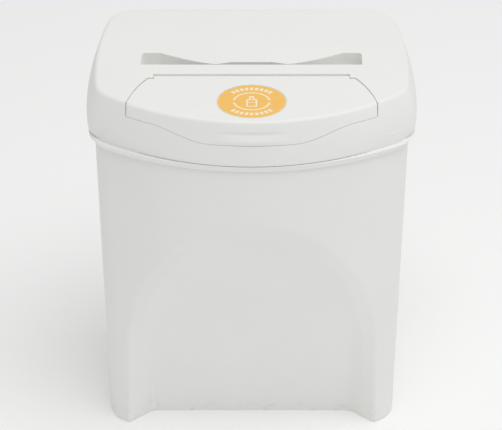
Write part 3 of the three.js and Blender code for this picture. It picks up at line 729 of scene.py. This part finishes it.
def make_flap():
    flap = cut(lid_form("flap"), lid_core(WALL, TOP - WALL))
    bpy.ops.object.mode_set(mode="EDIT")
    bpy.ops.mesh.select_all(action="SELECT")
    move((0, 0, -FLAP_DROP))
    bpy.ops.object.mode_set(mode="OBJECT")
    plan = slab("flap plan", flap_plan(0, SKIRT_BOTTOM - 5 * MM), up(TOP - SKIRT_BOTTOM + 10 * MM))
    ahead = block("ahead of the axis", -HALF_WIDTH, HALF_WIDTH, FRONT - BEYOND, FLAP_AXIS.y - 0.5 * MM,
                  SKIRT_BOTTOM - 6 * MM, TOP + 6 * MM)
    keep_inside(flap, keep_inside(plan, ahead), lip_curtain(0, TOP + 5 * MM, rear=FLAP_REAR))
    cut(flap, finger_groove())
    join(flap, finger_ledge())

    # The barrel is whole at its ends and open underneath between them.
    join(flap, bar("barrel", BARREL_RADIUS, 2 * BARREL_HALF, FLAP_AXIS, sides=64))
    open_half = BARREL_HALF - BARREL_END
    cut(flap, block("barrel slot", -open_half, open_half, FLAP_AXIS.y - 6 * MM, FLAP_REAR + 1 * MM,
                    FLAP_AXIS.z - 6 * MM, FLAP_AXIS.z - 1 * MM))
    cut(flap, bar("pin bore", BORE_RADIUS + 0.2 * MM, 2 * BARREL_HALF + 2 * MM, FLAP_AXIS))

    # A recess round the label.
    bpy.ops.object.select_all(action="DESELECT")
    bpy.ops.mesh.primitive_cylinder_add(vertices=128, radius=LABEL_RADIUS + LABEL_MARGIN, depth=4 * MM,
                                        location=(LABEL_CENTRE.x, LABEL_CENTRE.y, FLAP_TOP + 1.2 * MM))
    recess = bpy.context.object
    bpy.ops.object.transform_apply(location=True, rotation=True, scale=True)
    cut(flap, recess)
    soften(flap, 0.4 * MM)
    return flap


def make_label():
    """A printed disc with its upper edge rolled over."""
    bpy.ops.object.select_all(action="DESELECT")
    bpy.ops.mesh.primitive_circle_add(vertices=128, radius=LABEL_RADIUS, fill_type="NGON")
    label = bpy.context.object
    label.name = "label"
    bpy.ops.object.mode_set(mode="EDIT")
    bpy.ops.mesh.select_all(action="SELECT")
    move((LABEL_CENTRE.x, LABEL_CENTRE.y, label_low.z))
    thick = label_high.z - label_low.z
    pull((0, 0, thick * 0.7))
    pull((0, 0, thick * 0.3))
    share = (LABEL_RADIUS - 0.2 * MM) / LABEL_RADIUS
    bpy.ops.transform.resize(
        value=(share, share, 1), center_override=(LABEL_CENTRE.x, LABEL_CENTRE.y, 0)
    )
    bpy.ops.mesh.inset(thickness=1 * MM, depth=0)
    finish_solid(label)
    smooth(label)
    return label


# ---- the bag ring and the pins -----------------------------------------------------------------------------


def make_ring():
    """A flange that rests on the tub's neck, with a skirt inside it that clamps the bag's edge."""
    ring_low, ring_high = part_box("bag_ring")
    flange = (ring_high.x, ring_low.y, ring_high.y)
    seat = NECK_TOP + RING_LIFT
    skirt = inset(tub_section(NECK_TOP), WALL + RING_ROOM)
    inside = inset(skirt, RING_WALL)
    levels = [(skirt, ring_low.z), (skirt, seat), (flange, seat), (flange, ring_high.z - RING_EDGE),
              (inset(flange, RING_EDGE), ring_high.z), (inset(inside, -RING_EDGE), ring_high.z),
              (inside, ring_high.z - RING_EDGE), (inside, ring_low.z)]
    ring = bowed_plan("clamp_ring", *levels[0])
    climb(levels[0], levels[1:])
    bpy.ops.mesh.delete(type="FACE")
    bpy.ops.object.mode_set(mode="OBJECT")
    bpy.context.tool_settings.mesh_select_mode = (False, False, True)
    for face in ring.data.polygons:
        face.select = face.area > 0.02
    bpy.ops.object.mode_set(mode="EDIT")
    bpy.ops.mesh.delete(type="FACE")
    bpy.ops.mesh.select_all(action="DESELECT")
    bpy.context.tool_settings.mesh_select_mode = (False, True, False)
    bpy.ops.mesh.select_non_manifold()
    bpy.ops.mesh.bridge_edge_loops()
    finish_solid(ring)
    smooth(ring)
    return ring


def make_pin(node, headed):
    """A turned pin along X, with chamfered ends, or a flat head on its outer end."""
    low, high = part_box(node)
    axis_y, axis_z = (low.y + high.y) / 2, (low.z + high.z) / 2
    outward = 1 if low.x + high.x > 0 else -1
    inner, outer = (low.x, high.x) if outward > 0 else (high.x, low.x)
    pin = start(node + ".turned")
    move((inner, axis_y, axis_z))
    profile = [(0, PIN_RADIUS - PIN_CHAMFER), (PIN_CHAMFER, PIN_RADIUS)]
    length = abs(outer - inner)
    if headed:
        profile += [(length - PIN_HEAD, PIN_RADIUS), (length - PIN_HEAD, PIN_HEAD_RADIUS),
                    (length - HEAD_CHAMFER, PIN_HEAD_RADIUS), (length, PIN_HEAD_RADIUS - HEAD_CHAMFER)]
    else:
        profile += [(length - PIN_CHAMFER, PIN_RADIUS), (length, PIN_RADIUS - PIN_CHAMFER)]
    here = (0, 0)
    for there in [*profile, (length, 0)]:
        pull((outward * (there[0] - here[0]), 0, there[1] - here[1]))
        here = there
    bpy.ops.mesh.select_all(action="SELECT")
    bpy.ops.mesh.spin(steps=32, angle=2 * math.pi, center=(0, axis_y, axis_z), axis=(1, 0, 0))
    finish_solid(pin)
    smooth(pin)
    return pin


# ---- finishes ----------------------------------------------------------------------------------------------


class Wire:
    """A socket of a finish, which does arithmetic with numbers and other wires."""

    def __init__(self, finish, socket):
        self.finish = finish
        self.socket = socket

    def _do(self, operation, first, second=0.0):
        return self.finish.node("ShaderNodeMath", {"operation": operation}, {0: first, 1: second})

    def __add__(self, other):
        return self._do("ADD", self, other)

    def __radd__(self, other):
        return self._do("ADD", other, self)

    def __sub__(self, other):
        return self._do("SUBTRACT", self, other)

    def __rsub__(self, other):
        return self._do("SUBTRACT", other, self)

    def __mul__(self, other):
        return self._do("MULTIPLY", self, other)

    def __rmul__(self, other):
        return self._do("MULTIPLY", other, self)

    def __truediv__(self, other):
        return self._do("DIVIDE", self, other)

    def __pow__(self, other):
        return self._do("POWER", self, other)

    def __lt__(self, other):
        return self._do("LESS_THAN", self, other)

    def __gt__(self, other):
        return self._do("GREATER_THAN", self, other)

    def __abs__(self):
        return self._do("ABSOLUTE", self)

    def least(self, other):
        return self._do("MINIMUM", self, other)

    def most(self, other):
        return self._do("MAXIMUM", self, other)


class Finish:
    """A material made of nodes. What varies over the surface is built up from its object coordinates."""

    def __init__(self, name, **constants):
        self.material = bpy.data.materials.new(name)
        self.material.use_nodes = True
        self.tree = self.material.node_tree
        self.surface = self.tree.nodes["Principled BSDF"]
        for socket, value in constants.items():
            self.surface.inputs[socket.replace("_", " ")].default_value = value
        self.place = self.node("ShaderNodeTexCoord", {}, {}, "Object")

    def node(self, kind, settings, inputs, output=0):
        made = self.tree.nodes.new(kind)
        for key, value in settings.items():
            setattr(made, key, value)
        for key, value in inputs.items():
            if isinstance(value, Wire):
                self.tree.links.new(value.socket, made.inputs[key])
            else:
                made.inputs[key].default_value = value
        return Wire(self, made.outputs[output])

    def noise(self, size, detail=2.0, roughness=0.5):
        """Noise between 0 and 1 whose patches are about this size."""
        return self.node("ShaderNodeTexNoise", {}, {
            "Vector": self.place, "Scale": 1 / size, "Detail": detail, "Roughness": roughness})

    def part(self, axis):
        return self.node("ShaderNodeSeparateXYZ", {}, {0: self.place}, axis)

    def band(self, value, low, high):
        """0 below low and 1 above high, with a smooth rise between."""
        return self.node("ShaderNodeMapRange", {"interpolation_type": "SMOOTHSTEP"}, {
            "Value": value, "From Min": low, "From Max": high})

    def blend(self, share, first, second):
        return self.node("ShaderNodeMix", {"data_type": "RGBA"}, {0: share, 6: first, 7: second}, 2)

    def feed(self, **wires):
        for socket, wire in wires.items():
            self.tree.links.new(wire.socket, self.surface.inputs[socket.replace("_", " ")])

    def bumps(self, height, distance, strength=1.0):
        return self.node("ShaderNodeBump", {}, {"Height": height, "Distance": distance, "Strength": strength})


def moulded_white(name, colour, deeper, grain=1.0):
    """Satin polypropylene: a fine moulded grain, faint flow marks, and patchy painted shade low down on the
    feet.
    """
    finish = Finish(name, IOR=1.49, Specular_IOR_Level=0.42)
    flow = finish.noise(90 * MM, detail=3.0)
    specks = finish.noise(0.9 * MM, detail=2.0, roughness=0.6)
    wide = finish.noise(14 * MM, detail=4.0)
    # Painted shade: within 26 mm of the floor the colour darkens in patches, where contact shade falls. The
    # same patches are also made rougher.
    painted_foot_shade = (1 - finish.band(finish.part("Z"), 2 * MM, 26 * MM)) * finish.band(wide, 0.5, 0.72)
    tint = 0.55 * finish.band(flow, 0.3, 0.7) + 0.2 * wide + 0.1 * specks
    body = finish.blend(tint, colour, deeper)
    # The dark grey blended in here is the colour of the painted shade near the floor.
    foot_shade_colour = finish.blend(painted_foot_shade * 0.35, body, (0.60, 0.595, 0.57, 1))
    finish.feed(
        Base_Color=foot_shade_colour,
        Roughness=0.46 + 0.07 * flow + 0.05 * specks + 0.12 * painted_foot_shade,
        Normal=finish.bumps(specks + 0.5 * finish.noise(0.35 * MM), 0.02 * MM * grain, 0.55),
    )
    return finish.material


def ring_grey():
    finish = Finish("satin grey polypropylene", IOR=1.49, Specular_IOR_Level=0.42)
    cloud = finish.noise(40 * MM, detail=3.0)
    specks = finish.noise(0.8 * MM)
    finish.feed(
        Base_Color=finish.blend(0.6 * cloud + 0.3 * specks, (0.60, 0.61, 0.61, 1), (0.55, 0.56, 0.565, 1)),
        Roughness=0.42 + 0.12 * cloud,
        Normal=finish.bumps(specks, 0.02 * MM, 0.5),
    )
    return finish.material


def pin_acetal():
    """Smooth acetal with fine turning marks round the pin."""
    finish = Finish("turned acetal pins", IOR=1.48, Specular_IOR_Level=0.5)
    turning = finish.node("ShaderNodeTexWave", {"bands_direction": "X"}, {
        "Vector": finish.place, "Scale": 900.0, "Distortion": 0.6, "Detail": 1.0})
    cloud = finish.noise(6 * MM)
    finish.feed(
        Base_Color=finish.blend(cloud, (0.73, 0.735, 0.72, 1), (0.68, 0.685, 0.675, 1)),
        Roughness=0.28 + 0.1 * turning + 0.06 * cloud,
        Normal=finish.bumps(turning, 0.01 * MM, 0.4),
    )
    return finish.material


def label_print():
    """Orange film with a plain sorting sign in pale ink: a bottle in a ring, between two arcs of dashes."""
    finish = Finish("printed orange film", IOR=1.5, Coat_Roughness=0.22, Specular_IOR_Level=0.4)
    x = (finish.part("X") - LABEL_CENTRE.x) / LABEL_RADIUS
    y = (finish.part("Y") - LABEL_CENTRE.y) / LABEL_RADIUS
    radius = (x * x + y * y) ** 0.5
    side = abs(x)
    line = 0.022

    # The bottle: body, sloping shoulder, neck and cap, each as a distance outside its edge.
    body = (side - 0.135).most(abs(y + 0.1) - 0.20)
    neck = (side - 0.05).most(abs(y - 0.17) - 0.085)
    shoulder = (side * 0.75 + (y - 0.18) * 0.66 - 0.012).most(0.08 - y)
    cap = (side - 0.075).most(abs(y - 0.285) - 0.03)
    bottle = body.least(neck).least(shoulder)
    outline = abs(bottle) < line
    waist = (abs(y + 0.06) < 0.014) * (side < 0.135)
    sign = outline.most(cap < 0).most(waist)

    # A ring in two halves, with gaps at the sides.
    ring = (abs(radius - 0.52) < 0.026) * (abs(y) > 0.07)

    # Dashes stand in for wording, above and below.
    turn = finish.node("ShaderNodeMath", {"operation": "ARCTAN2"}, {0: x, 1: abs(y)})
    teeth = finish.node("ShaderNodeMath", {"operation": "FRACT"}, {0: turn * 5.2 + 40.5})
    dashes = (abs(radius - 0.765) < 0.075) * (abs(teeth - 0.5) < 0.31) * (abs(turn) < 0.87)
    ink = sign.most(ring).most(dashes)

    film = finish.noise(9 * MM, detail=3.0)
    fibres = finish.noise(0.5 * MM, detail=2.0)
    orange = finish.blend(film, (0.955, 0.560, 0.115, 1), (0.92, 0.515, 0.095, 1))
    worn_ink = finish.blend(0.25 * fibres, (0.94, 0.88, 0.72, 1), (0.95, 0.66, 0.25, 1))
    rim = finish.band(radius, 0.975, 0.995)
    printed = finish.blend(ink, orange, worn_ink)
    finish.feed(
        Base_Color=finish.blend(rim, printed, (0.90, 0.78, 0.55, 1)),
        Roughness=0.38 + 0.12 * film + 0.08 * ink,
        Coat_Weight=0.25 + 0.2 * film,
        Normal=finish.bumps(0.7 * film + 0.5 * ink + 0.2 * fibres, 0.03 * MM, 0.5),
    )
    return finish.material


def paint(piece, material):
    piece.data.materials.clear()
    piece.data.materials.append(material)


# ---- the pieces on their bodies ----------------------------------------------------------------------------

shell_white = moulded_white("satin white polypropylene", (0.865, 0.865, 0.845, 1), (0.845, 0.847, 0.827, 1))
tub_white = moulded_white("satin white tub polypropylene", (0.855, 0.857, 0.837, 1),
                          (0.832, 0.835, 0.815, 1), 1.3)
acetal = pin_acetal()


def stand_for(piece, node, body, material):
    paint(piece, material)
    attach(piece, body)
    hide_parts(node)


stand_for(make_tub(), "bin_body", "bin", tub_white)
stand_for(make_ring(), "bag_ring", "bin", ring_grey())
stand_for(make_lid(), "lid_frame", "lid", shell_white)
stand_for(make_flap(), "front_flap", "flap", shell_white)
stand_for(make_label(), "sorting_label", "flap", label_print())
for side in ("left", "right"):
    for joint, body, headed in (("lid", "bin", True), ("flap", "lid", False)):
        node = f"{joint}_hinge_pin_{side}"
        stand_for(make_pin(node, headed), node, body, acetal)


# ---- studio ------------------------------------------------------------------------------------------------


def make_floor():
    """A pale sweep with no visible edge."""
    bpy.ops.object.select_all(action="DESELECT")
    bpy.ops.mesh.primitive_plane_add(size=14)
    floor = bpy.context.object
    floor.name = "studio floor"
    finish = Finish("pale studio floor", Specular_IOR_Level=0.1)
    cloud = finish.noise(0.7, detail=3.0)
    finish.feed(
        Base_Color=finish.blend(cloud, (0.93, 0.93, 0.93, 1), (0.915, 0.915, 0.915, 1)),
        Roughness=0.85 + 0.1 * cloud,
    )
    finish.surface.inputs["Emission Color"].default_value = (1, 1, 1, 1)
    finish.surface.inputs["Emission Strength"].default_value = 0.07
    paint(floor, finish.material)


def aim(thing, target):
    thing.rotation_euler = (Vector(target) - thing.location).to_track_quat("-Z", "Y").to_euler()


def softbox(name, place, target, width, height, power):
    data = bpy.data.lights.new(name, "AREA")
    data.shape = "RECTANGLE"
    data.size = width
    data.size_y = height
    data.energy = power
    light = bpy.data.objects.new(name, data)
    bpy.context.scene.collection.objects.link(light)
    light.location = place
    aim(light, target)


def make_light():
    world = bpy.data.worlds.new("white tent")
    bpy.context.scene.world = world
    world.use_nodes = True
    world.node_tree.nodes["Background"].inputs["Color"].default_value = (1.0, 1.0, 0.995, 1)
    world.node_tree.nodes["Background"].inputs["Strength"].default_value = 0.61
    middle = (0, 0, TOP / 2)
    softbox("overhead softbox", (0.6, -0.65, 3.15), middle, 2.5, 2.0, 36)
    softbox("right softbox", (2.6, -1.6, 1.5), middle, 1.6, 2.0, 4)
    bpy.context.scene.view_settings.view_transform = "Standard"


def make_camera():
    distance = 3.512
    elevation = math.radians(30.54)
    data = bpy.data.cameras.new("camera")
    data.lens = 206.3
    data.sensor_width = 36
    data.shift_x = -0.0014
    camera = bpy.data.objects.new("camera", data)
    bpy.context.scene.collection.objects.link(camera)
    target = Vector((0, 0, 0.2421))
    camera.location = target + distance * Vector((0, -math.cos(elevation), math.sin(elevation)))
    aim(camera, target)
    bpy.context.scene.camera = camera


make_floor()
make_light()
make_camera()
